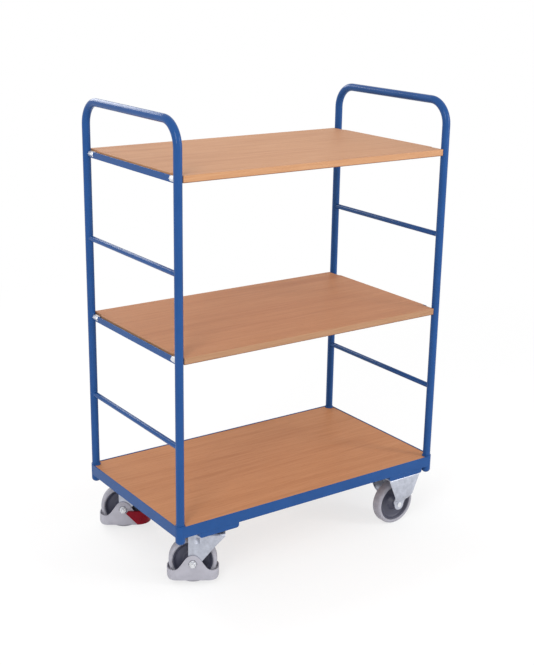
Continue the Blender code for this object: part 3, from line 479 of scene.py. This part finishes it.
def finish(shape, name, material, body, at=Matrix(), bevel=0.0, segments=2, angle=30, stands_for=()):
    """Makes a piece of a shape in its place and lets it ride on its body."""
    bmesh.ops.transform(shape, matrix=at, verts=shape.verts[:])
    bmesh.ops.recalc_face_normals(shape, faces=shape.faces[:])
    mesh = bpy.data.meshes.new(name)
    shape.to_mesh(mesh)
    shape.free()
    mesh.shade_smooth()
    mesh.set_sharp_from_angle(angle=math.radians(angle))
    mesh.materials.append(material)
    piece = bpy.data.objects.new(name, mesh)
    bpy.context.scene.collection.objects.link(piece)
    if bevel:
        modifier = piece.modifiers.new("edges", "BEVEL")
        modifier.width = bevel
        modifier.segments = segments
        modifier.limit_method = "ANGLE"
        modifier.angle_limit = math.radians(angle)
        modifier.harden_normals = True
    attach(piece, body)
    if stands_for:
        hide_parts(*stands_for)
    return piece


def copied(node):
    """The shape of a CAD node with its flat faces joined."""
    shape = bmesh.new()
    shape.from_mesh(frame["nodes"][node].data)
    bmesh.ops.remove_doubles(shape, verts=shape.verts[:], dist=MERGE_DISTANCE)
    bmesh.ops.dissolve_limit(shape, angle_limit=FLAT_ANGLE, verts=shape.verts[:], edges=shape.edges[:])
    return shape


def softened(node, material, bevel, segments=2):
    """A copy of a CAD node with its edges eased, in the node's place."""
    body = frame["nodes"][node]["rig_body"]
    return finish(copied(node), f"look_{node}", material, body, bevel=bevel, segments=segments,
                  stands_for=(node,))


def axle_place(where):
    """The frame of a wheel: its axle's middle, with Y along the axle and X ahead."""
    spin = joint(f"wheel_{where}_spin")
    turn = math.atan2(-spin["axis"][0], spin["axis"][1])
    return Matrix.Translation(spin["pos_m"]) @ Matrix.Rotation(turn, 4, "Z")


def both_faces(half_profile):
    """The profile of one side from the bore out, and then its mirror image back in."""
    return [(radius, -height) for radius, height in half_profile] + half_profile[::-1]


def make_end_frames(looks):
    """Tubes, rungs and their weld beads."""
    path = [(-POST_Y, TUBE_LOW.z)]
    path += arc((-POST_Y + BEND_RADIUS, HANDLE_AXIS - BEND_RADIUS), BEND_RADIUS, 180, 90, BEND_STEPS)
    path += arc((POST_Y - BEND_RADIUS, HANDLE_AXIS - BEND_RADIUS), BEND_RADIUS, 90, 0, BEND_STEPS)
    path.append((POST_Y, TUBE_LOW.z))
    for end, sign in ENDS.items():
        rings = []
        for i, (y, z) in enumerate(path):
            before = Vector(path[max(i - 1, 0)])
            after = Vector(path[min(i + 1, len(path) - 1)])
            along = (after - before).normalized()
            across = Vector((0, along.y, -along.x))
            ring = []
            for k in range(TUBE_SIDES):
                angle = 2 * math.pi * k / TUBE_SIDES
                offset = across * math.cos(angle) + Vector((1, 0, 0)) * math.sin(angle)
                ring.append(Vector((sign * POST_X, y + FRAME_Y, z)) + offset * TUBE_RADIUS)
            rings.append(ring)
        finish(skin(rings), f"end_tube_look_{end}", looks["blue"], "frame",
               stands_for=(f"end_tube_{end}",))
        for level in ("lower", "upper"):
            make_rung(level, end, looks)


def make_rung(level, end, looks):
    """A bar between the posts with a weld bead at each end."""
    node = f"end_rung_{level}_{end}"
    radius = extent(node).z / 2
    half = POST_Y - RUNG_REACH * TUBE_RADIUS
    at = Matrix.Translation(middle(node))
    bar = turned([(0, -half), (radius, -half), (radius, half), (0, half)], THIN_SIDES, "Y")
    finish(bar, f"rung_look_{level}_{end}", looks["blue"], "frame", at, stands_for=(node,))
    for side, sign in SIDES.items():
        turn = Matrix.Rotation(0 if sign > 0 else math.pi, 4, "Z")
        bead = weld_bead(radius)
        finish(bead, f"rung_weld_{level}_{side}_{end}", looks["blue"], "frame", at @ turn)


def weld_bead(rung_radius):
    """A fillet where a rung along +Y meets a round post."""
    rings = []
    for k in range(THIN_SIDES):
        angle = 2 * math.pi * k / THIN_SIDES
        ring = []
        for reach, back in WELD_SECTION:
            radius = rung_radius + WELD_SIZE * reach
            x, z = radius * math.cos(angle), radius * math.sin(angle)
            surface = POST_Y - math.sqrt(TUBE_RADIUS**2 - min(x * x, TUBE_RADIUS**2 * WELD_WRAP))
            ring.append(Vector((x, surface - WELD_SIZE * back, z)))
        rings.append(ring)
    rings.append(rings[0])
    shape = skin(rings, caps=False)
    bmesh.ops.remove_doubles(shape, verts=shape.verts[:], dist=MERGE_DISTANCE)
    return shape


def make_sleeves(looks):
    """Round sockets with a domed foot and an eased rim."""
    top, bottom = SLEEVE_HIGH.z, SLEEVE_LOW.z
    inner = TUBE_RADIUS + SEAT
    quarter = arc((0, 0), 1, -90, 0, DOME_STEPS)[1:]
    dome = [(SLEEVE_RADIUS * out, bottom + SLEEVE_DOME * (1 + up)) for out, up in quarter]
    lip = SLEEVE_LIP / 3
    profile = [(0, bottom), *dome, (SLEEVE_RADIUS, top - SLEEVE_LIP), (SLEEVE_RADIUS - lip, top - lip),
               (SLEEVE_RADIUS - SLEEVE_LIP, top), (inner, top), (inner, TUBE_LOW.z), (0, TUBE_LOW.z)]
    for end, sign_x in ENDS.items():
        for side, sign_y in SIDES.items():
            at = Matrix.Translation((sign_x * POST_X, sign_y * POST_Y + FRAME_Y, 0))
            finish(turned(profile), f"sleeve_look_{side}_{end}", looks["blue"], "frame", at,
                   stands_for=(f"corner_sleeve_{side}_{end}",))


def make_base(looks):
    for node in ("base_rail_front", "base_rail_back", "base_rail_left", "base_rail_right"):
        softened(node, looks["blue"], RAIL_EDGE, 3)
    for node in ("cross_member_left", "cross_member_right"):
        softened(node, looks["blue"], CROSS_MEMBER_EDGE)


def make_shelf_supports(looks):
    for level in ("middle", "top"):
        for end in ENDS:
            softened(f"shelf_carrier_{level}_{end}", looks["blue"], CARRIER_EDGE)
            for side in SIDES:
                nut = f"carrier_nut_{level}_{side}_{end}"
                softened(nut, looks["bright"], CARRIER_NUT_EDGE)


def make_boards(looks):
    """Each board keeps its outline, with eased edges and a band round its core."""
    for level in ("lower", "middle", "top"):
        board = softened(f"board_{level}", looks[f"wood_{level}"], BOARD_EDGE)
        board.data.materials.append(looks[f"edge_{level}"])
        for face in board.data.polygons:
            if abs(face.normal.z) < 0.5:
                face.material_index = 1


def tyre_profile():
    """From the bore out to the tread: a flat side and a well rounded shoulder."""
    foot = RIM_RADIUS + SEAT
    points = [(foot, TYRE_HALF_WIDTH - TYRE_FOOT), (foot + TYRE_FOOT, TYRE_HALF_WIDTH)]
    side = TYRE_HALF_WIDTH - TREAD_HALF_WIDTH
    for out, up in arc((0, 0), 1, 0, 90, SHOULDER_STEPS):
        points.append((WHEEL_RADIUS - TYRE_SHOULDER * (1 - up), TREAD_HALF_WIDTH + side * out))
    return points


def rim_profile():
    """From the bearing out: a tall hub, a cone down to the web, and a raised ring under the tyre."""
    hub_foot = HUB_RADIUS + (HUB_HALF_WIDTH - WEB_HALF_WIDTH) / 2
    ring_foot = RIM_RADIUS - (RIM_HALF_WIDTH - WEB_HALF_WIDTH)
    return [
        (BEARING_RADIUS + SEAT, HUB_HALF_WIDTH),
        (HUB_RADIUS - HUB_EDGE, HUB_HALF_WIDTH),
        (HUB_RADIUS, HUB_HALF_WIDTH - HUB_EDGE),
        (HUB_RADIUS + HUB_TAPER, HUB_HALF_WIDTH - HUB_COLLAR),
        (hub_foot, WEB_HALF_WIDTH + HUB_EDGE),
        (hub_foot + WEB_BLEND, WEB_HALF_WIDTH),
        (ring_foot - RING_FOOT, WEB_HALF_WIDTH),
        (ring_foot + RING_STEP, WEB_HALF_WIDTH + RING_STEP),
        (RIM_RADIUS - RING_SHOULDER, RIM_HALF_WIDTH - RING_STEP),
        (RIM_RADIUS - RING_STEP, RIM_HALF_WIDTH),
        (RIM_RADIUS, RIM_HALF_WIDTH),
    ]


def make_wheel(where, looks):
    """Tyre, rim and hub bearing, turned about the axle."""
    body = f"wheel_{where}"
    at = axle_place(where)
    tyre = turned(both_faces(tyre_profile()), WHEEL_SIDES, "Y")
    finish(tyre, f"tyre_look_{where}", looks["tyre"], body, at,
           stands_for=(f"wheel_tyre_{where}",))
    rim = turned(eased(both_faces(rim_profile()), RIM_EASE), WHEEL_SIDES, "Y")
    finish(rim, f"rim_look_{where}", looks["rim"], body, at,
           stands_for=(f"wheel_rim_{where}",))
    ring = [
        (AXLE_RADIUS + BEARING_GAP, BEARING_HALF_WIDTH),
        (BEARING_RADIUS - BEARING_EDGE, BEARING_HALF_WIDTH),
        (BEARING_RADIUS, BEARING_HALF_WIDTH - BEARING_EDGE),
    ]
    bearing = turned(both_faces(ring), AXLE_SIDES, "Y")
    finish(bearing, f"bearing_look_{where}", looks["steel"], body, at,
           stands_for=(f"hub_bearing_{where}",))


def bell(x):
    """The foot guard's upper edge above its rim, as a share of the dome's height."""
    share = min(abs(x) / GUARD_DOME_HALF_WIDTH, 1)
    return max(math.cos(math.pi / 2 * share**GUARD_DOME_SPREAD), 0) ** GUARD_DOME_FALL


def guard_outline(inset):
    """A rounded rectangle inside the guard's outer one, with points along its long sides too."""
    half_x, half_y, corner = GUARD_HALF_LENGTH - inset, GUARD_HALF_WIDTH - inset, GUARD_CORNER - inset
    straight = half_x - corner
    points = []
    for sign_x, sign_y, start in ((1, 1, 0), (-1, 1, 90), (-1, -1, 180), (1, -1, 270)):
        centre = (sign_x * straight, sign_y * (half_y - corner))
        points += arc(centre, corner, start, start + 90, GUARD_CORNER_STEPS)
        if sign_x == sign_y:
            for i in range(1, GUARD_FLAT_STEPS):
                points.append((sign_y * straight * (1 - 2 * i / GUARD_FLAT_STEPS), sign_y * half_y))
    return points


def make_foot_guard(where, looks):
    """A thin ring round the wheel's foot, with a dome on each side and all its edges eased."""
    rings = []
    for (xo, yo), (xi, yi) in zip(guard_outline(0), guard_outline(GUARD_WALL)):
        top = GUARD_RIM + (GUARD_HIGH.z - GUARD_RIM) * bell(xo) - WHEEL_RADIUS
        over = max(abs(xo) - (GUARD_HALF_LENGTH - GUARD_FOOT_EDGE), 0) / GUARD_FOOT_EDGE
        foot = GUARD_LOW.z + GUARD_FOOT_EDGE * (1 - math.sqrt(max(1 - over * over, 0))) - WHEEL_RADIUS
        across = (Vector((xi, yi, 0)) - Vector((xo, yo, 0))).normalized() * GUARD_EASE
        up = Vector((0, 0, GUARD_EASE))
        a, b = Vector((xo, yo, foot)), Vector((xo, yo, top))
        c, d = Vector((xi, yi, top)), Vector((xi, yi, foot))
        rising, falling = (across + up) * GUARD_ROUND, (across - up) * GUARD_ROUND
        rings.append([a + across, a + rising, a + up, b - up, b + falling, b + across,
                      c - across, c - rising, c - up, d + up, d - falling, d - across])
    rings.append(rings[0])
    shape = skin(rings, caps=False)
    bmesh.ops.remove_doubles(shape, verts=shape.verts[:], dist=MERGE_DISTANCE)
    finish(shape, f"guard_look_{where}", looks["grey"], f"swivel_{where}", axle_place(where),
           angle=40, stands_for=(f"foot_guard_{where}",))


def head_profile():
    """King nut, king pin and the two races of the swivel bearing, from below."""
    nut_top = HEAD_LOW.z + KING_NUT_THICKNESS
    low = HEAD_HIGH.z - HEAD_HEIGHT
    groove = low + GROOVE_SHARE * HEAD_HEIGHT
    return [
        (0, HEAD_LOW.z),
        (KING_NUT_RADIUS - KING_NUT_EDGE, HEAD_LOW.z),
        (KING_NUT_RADIUS, HEAD_LOW.z + KING_NUT_EDGE),
        (KING_NUT_RADIUS, nut_top),
        (AXLE_RADIUS, nut_top),
        (AXLE_RADIUS, low),
        (HEAD_RADIUS - HEAD_CHAMFER, low),
        (HEAD_RADIUS - HEAD_LIP, groove - GROOVE_RIM),
        (HEAD_RADIUS - GROOVE_EDGE, groove - GROOVE_HALF_WIDTH),
        (HEAD_RADIUS - GROOVE_DEPTH, groove),
        (HEAD_RADIUS - GROOVE_EDGE, groove + GROOVE_HALF_WIDTH),
        (HEAD_RADIUS, groove + HEAD_LIP),
        (HEAD_RADIUS, HEAD_HIGH.z - HEAD_EDGE),
        (HEAD_RADIUS - HEAD_EDGE, HEAD_HIGH.z),
        (0, HEAD_HIGH.z),
    ]


def swivel_place(where):
    """The frame of a swivel caster: its swivel axis on the floor, with X ahead."""
    turn = Vector(joint(f"swivel_{where}_turn")["pos_m"])
    return Matrix.Translation((turn.x, turn.y, 0)) @ axle_place(where).to_3x3().to_4x4()


def make_swivel_fork(where, looks):
    """The CAD fork with cheeks that swell outward ahead of the crease instead of running straight."""
    node = f"swivel_fork_{where}"
    place = swivel_place(where)
    shape = copied(node)
    bmesh.ops.transform(shape, matrix=place.inverted(), verts=shape.verts[:])
    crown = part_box(node)[1].z
    length = FORK_REACH - FORK_CREASE
    rise = crown - FORK_SWELL_FOOT
    cuts = [((FORK_CREASE + length * (i / FORK_CUTS) ** 2, 0, 0), (1, 0, 0)) for i in range(FORK_CUTS)]
    cuts += [((0, 0, FORK_SWELL_FOOT + rise * i / FORK_ROWS), (0, 0, 1)) for i in range(FORK_ROWS)]
    for at, normal in cuts:
        geometry = shape.verts[:] + shape.edges[:] + shape.faces[:]
        bmesh.ops.bisect_plane(shape, geom=geometry, plane_co=at, plane_no=normal)
    # Only the cheeks swell, not the crown between them
    for vert in shape.verts:
        ahead = min(max((vert.co.x - FORK_CREASE) / length, 0), 1)
        height = min(max((vert.co.z - FORK_SWELL_FOOT) / rise, 0), 1)
        swell = FORK_SWELL * math.sqrt(ahead) * (1 - ahead) * height
        if abs(vert.co.y) > HEAD_RADIUS / 2:
            vert.co.y += math.copysign(swell, vert.co.y)
    finish(shape, f"look_{node}", looks["zinc"], f"swivel_{where}", place, FORK_EDGE, angle=28,
           stands_for=(node,))


def make_nut_seats(where, looks):
    """The dark hexagonal rims round the axle's nut and head on the foot guard."""
    inner, outer = NUT_SEAT_INNER, NUT_SEAT_OUTER
    for side, sign in SIDES.items():
        low = sign * (GUARD_HALF_WIDTH - NUT_SEAT_DEPTH)
        high = sign * (GUARD_HALF_WIDTH + NUT_SEAT_DEPTH)
        ring = turned([(inner, low), (outer, low), (outer, high), (inner, high)], 6, "Y")
        finish(ring, f"nut_seat_{where}_{side}", looks["seat"], f"swivel_{where}",
               axle_place(where))


def make_swivel_caster(where, looks):
    """Plate, swivel head, fork, axle, foot guard and wheel."""
    softened(f"caster_plate_{where}", looks["zinc"], PLATE_EDGE)
    make_swivel_fork(where, looks)
    make_nut_seats(where, looks)
    softened(f"axle_nut_{where}", looks["bright"], AXLE_EDGE)
    softened(f"axle_bolt_{where}", looks["bright"], AXLE_EDGE)
    head = turned(head_profile(), HEAD_SIDES)
    finish(head, f"head_look_{where}", looks["zinc"], f"swivel_{where}", swivel_place(where),
           stands_for=(f"swivel_head_{where}",))
    make_foot_guard(where, looks)
    make_wheel(where, looks)


def level_at(x, points):
    """The height at x of the line through points, level beyond its ends."""
    x = min(max(x, points[0][0]), points[-1][0])
    for (x0, y0), (x1, y1) in zip(points, points[1:]):
        if x <= x1:
            return y0 + (y1 - y0) * (x - x0) / (x1 - x0)


def make_fixed_fork(where, looks):
    """The CAD fork with straight edges from eye to plate, and legs that spread over a longer height."""
    node = f"fixed_fork_{where}"
    shape = copied(node)
    low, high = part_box(node)
    centre = middle(node).x
    axle = low.z + FIXED_EYE
    run = high.z - FIXED_BEND - axle
    half = (high.x - low.x) / 2
    heights = ((0, 0), (FIXED_STEP, FIXED_STEP), (FIXED_KNEE, FIXED_KNEE_HERE), (run, run))
    widths = ((0, FIXED_EYE), (FIXED_KNEE, FIXED_KNEE_HALF), (run, half))
    straight = ((0, FIXED_EYE), (run, half))
    for vert in shape.verts:
        rise = vert.co.z - axle
        if 0 < rise < run:
            new_rise = level_at(rise, heights)
            vert.co.z = axle + new_rise
            vert.co.x = centre + (vert.co.x - centre) * level_at(new_rise, straight) / level_at(rise, widths)
    finish(shape, f"look_{node}", looks["zinc"], "frame", bevel=FORK_EDGE, angle=40,
           stands_for=(node,))


def make_fixed_caster(where, looks):
    """The bent fork with its riveted axle, whose heads are domed."""
    make_fixed_fork(where, looks)
    end = extent(f"axle_{where}").y / 2
    face = end - RIVET_HEAD
    half = [(AXLE_RADIUS, face)]
    half += [(radius, face + height) for radius, height in RIVET_SIDE]
    half += [(radius, end - depth) for radius, depth in RIVET_DOME]
    axle = turned([(radius, -height) for radius, height in half[::-1]] + half, AXLE_SIDES, "Y")
    finish(axle, f"axle_look_{where}", looks["bright"], "frame", axle_place(where),
           stands_for=(f"axle_{where}",))
    make_wheel(where, looks)


def make_plate_bolts(looks):
    """Four hexagon heads with washers under each caster plate."""
    for where in SWIVELS:
        plate = f"caster_plate_{where}"
        make_bolt_set(where, middle(plate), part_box(plate)[0].z, looks)
    for where in FIXED:
        fork = f"fixed_fork_{where}"
        make_bolt_set(where, middle(fork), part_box(fork)[1].z - FIXED_SHEET, looks)


def make_bolt_set(where, centre, under, looks):
    """The bolts round a centre, their washers against the height given as under."""
    hexagon = arc((0, 0), BOLT_FLATS / 2 / math.cos(math.pi / 6), 0, 300, 5)
    section = [(0, -BOLT_WASHER), (BOLT_WASHER_RADIUS, -BOLT_WASHER), (BOLT_WASHER_RADIUS, 0), (0, 0)]
    for i, (side_x, side_y) in enumerate(((-1, -1), (1, -1), (1, 1), (-1, 1)), 1):
        x, y = centre.x + side_x * BOLT_SPREAD_X, centre.y + side_y * BOLT_SPREAD_Y
        at = Matrix.Translation((x, y, under))
        washer = turned(section, THIN_SIDES)
        finish(washer, f"plate_washer_{where}_{i}", looks["bright"], "frame", at)
        head = prism(hexagon, -BOLT_WASHER - BOLT_HEAD, -BOLT_WASHER)
        finish(head, f"plate_bolt_{where}_{i}", looks["bright"], "frame", at, BOLT_EDGE)


def make_looks():
    """All materials, with colours as display values."""
    # All three boards are one beech. The top board's colours are painted lighter: a painted sheen for its
    # face, seen at a grazing angle.
    wood = {
        "lower": ((184, 128, 87), (171, 114, 74), (147, 94, 61), (3, 1, 0)),
        "middle": ((183, 129, 91), (171, 115, 79), (148, 96, 64), (0, 7, 4)),
        "top": ((196, 145, 107), (184, 131, 94), (160, 111, 78), (9, 2, 8)),
    }
    # The top board's edge band is painted lighter in the same way: painted light, not a different wood.
    edges = {
        "lower": ((158, 112, 80), (170, 126, 94)),
        "middle": ((156, 114, 82), (170, 130, 98)),
        "top": ((178, 126, 86), (192, 144, 104)),
    }
    looks = {}
    for level, (light, dark, fleck, shift) in wood.items():
        looks[f"wood_{level}"] = board_wood(f"beech_{level}", light, dark, fleck, shift)
        looks[f"edge_{level}"] = edge_band(level, *edges[level])
    looks["blue"] = blue_paint()
    looks["zinc"] = zinc("zinc_sheet", (166, 170, 182), (198, 202, 214), 0.34)
    looks["bright"] = zinc("bright_zinc", (206, 208, 212), (232, 234, 238), 0.26)
    looks["steel"] = zinc("turned_steel", (150, 152, 156), (182, 184, 188), 0.3)
    looks["tyre"] = tyre_rubber()
    looks["rim"] = plastic("dark_grey_plastic", (60, 61, 77), (70, 71, 88), 0.46, 900, 0.2)
    looks["grey"] = plastic("light_grey_plastic", (161, 160, 170), (173, 172, 182), 0.52, 1100, 0.3)
    looks["seat"] = plastic("nut_seat_plastic", (104, 104, 114), (118, 118, 128), 0.6, 1100, 0.2)
    looks["red"] = plastic("red_plastic", (118, 2, 24), (134, 4, 30), 0.32, 700, 0.06, specular=0.15)
    return looks


def make_camera():
    """The camera at the photo's angle, from its fitted place, yaw, pitch and roll."""
    yaw, pitch, roll = CAMERA_YAW, CAMERA_PITCH, CAMERA_ROLL
    forward = Vector((math.sin(yaw) * math.cos(pitch), math.cos(yaw) * math.cos(pitch), math.sin(pitch)))
    right = Vector((math.cos(yaw), -math.sin(yaw), 0))
    up = right.cross(forward)
    x_axis = right * math.cos(roll) + up * math.sin(roll)
    y_axis = up * math.cos(roll) - right * math.sin(roll)
    data = bpy.data.cameras.new("camera")
    data.sensor_fit = "VERTICAL"
    data.sensor_height = SENSOR_MM
    data.lens = FOCAL_PIXELS / IMAGE_HEIGHT * SENSOR_MM
    data.clip_end = FAR_CLIP
    camera = bpy.data.objects.new("camera", data)
    rotation = Matrix((x_axis, y_axis, -forward)).transposed()
    camera.matrix_world = Matrix.Translation(CAMERA_AT) @ rotation.to_4x4()
    bpy.context.scene.collection.objects.link(camera)
    bpy.context.scene.camera = camera


def area_light(name, at, target, size, energy):
    data = bpy.data.lights.new(name, "AREA")
    data.shape = "RECTANGLE"
    data.size, data.size_y = size
    data.energy = energy
    light = bpy.data.objects.new(name, data)
    light.location = at
    light.rotation_euler = (Vector(target) - Vector(at)).to_track_quat("-Z", "Y").to_euler()
    bpy.context.scene.collection.objects.link(light)


def seen_rays(tree):
    """1 for rays from the camera and for mirrored and refracted ones, and 0 for the others."""
    path = tree.nodes.new("ShaderNodeLightPath")
    seen = path.outputs["Is Camera Ray"]
    for kind in ("Is Glossy Ray", "Is Transmission Ray"):
        either = tree.nodes.new("ShaderNodeMath")
        either.operation = "MAXIMUM"
        tree.links.new(seen, either.inputs[0])
        tree.links.new(path.outputs[kind], either.inputs[1])
        seen = either.outputs["Value"]
    return seen


def pale_floor():
    """White, and partly self-lit for the camera so that the shadow on it stays soft."""
    look = Look("pale_floor", roughness=0.9, specular=0.1)
    look.put("Base Color", FLOOR_COLOUR)
    glow = look.node("ShaderNodeEmission")
    glow.inputs["Color"].default_value = WHITE
    glow.inputs["Strength"].default_value = 1.0
    x, y, _ = look.axes()
    distance = look.math("SQRT", look.math("ADD", look.math("MULTIPLY", x, x), look.math("MULTIPLY", y, y)))
    glow_share = look.range(distance, (GLOW_FADE_START, GLOW_FADE_END), (FLOOR_GLOW, 1.0))
    mix = look.node("ShaderNodeMixShader")
    look.link(look.math("MULTIPLY", seen_rays(look.tree), glow_share), mix.inputs["Fac"])
    look.link(look.shader.outputs["BSDF"], mix.inputs[1])
    look.link(glow.outputs["Emission"], mix.inputs[2])
    look.link(mix.outputs["Shader"], look.tree.nodes["Material Output"].inputs["Surface"])
    return look.material


def make_world():
    """White where it is seen, and dimmer as a light."""
    world = bpy.data.worlds.new("studio")
    bpy.context.scene.world = world
    world.use_nodes = True
    tree = world.node_tree
    tree.nodes.clear()
    output = tree.nodes.new("ShaderNodeOutputWorld")
    mix = tree.nodes.new("ShaderNodeMixShader")
    for socket, strength in ((mix.inputs[1], AMBIENT), (mix.inputs[2], 1.0)):
        background = tree.nodes.new("ShaderNodeBackground")
        background.inputs["Color"].default_value = WHITE
        background.inputs["Strength"].default_value = strength
        tree.links.new(background.outputs["Background"], socket)
    tree.links.new(seen_rays(tree), mix.inputs["Fac"])
    tree.links.new(mix.outputs["Shader"], output.inputs["Surface"])


def make_floor():
    """A wide plain floor just under the wheels."""
    half = FLOOR_SIZE / 2
    corners = [(-half, -half, 0), (half, -half, 0), (half, half, 0), (-half, half, 0)]
    mesh = bpy.data.meshes.new("floor")
    mesh.from_pydata(corners, [], [(0, 1, 2, 3)])
    mesh.materials.append(pale_floor())
    floor = bpy.data.objects.new("floor", mesh)
    floor.location.z = -FLOOR_DROP
    bpy.context.scene.collection.objects.link(floor)


def make_studio():
    for lamp in LAMPS:
        area_light(*lamp)
    make_world()
    make_floor()
    bpy.context.scene.view_settings.view_transform = "Standard"


def main():
    make_camera()
    looks = make_looks()
    make_end_frames(looks)
    make_sleeves(looks)
    make_base(looks)
    make_shelf_supports(looks)
    make_boards(looks)
    for where in SWIVELS:
        make_swivel_caster(where, looks)
    softened("brake_pedal_back_left", looks["red"], PEDAL_EDGE, 3)
    for where in FIXED:
        make_fixed_caster(where, looks)
    make_plate_bolts(looks)
    make_studio()


main()
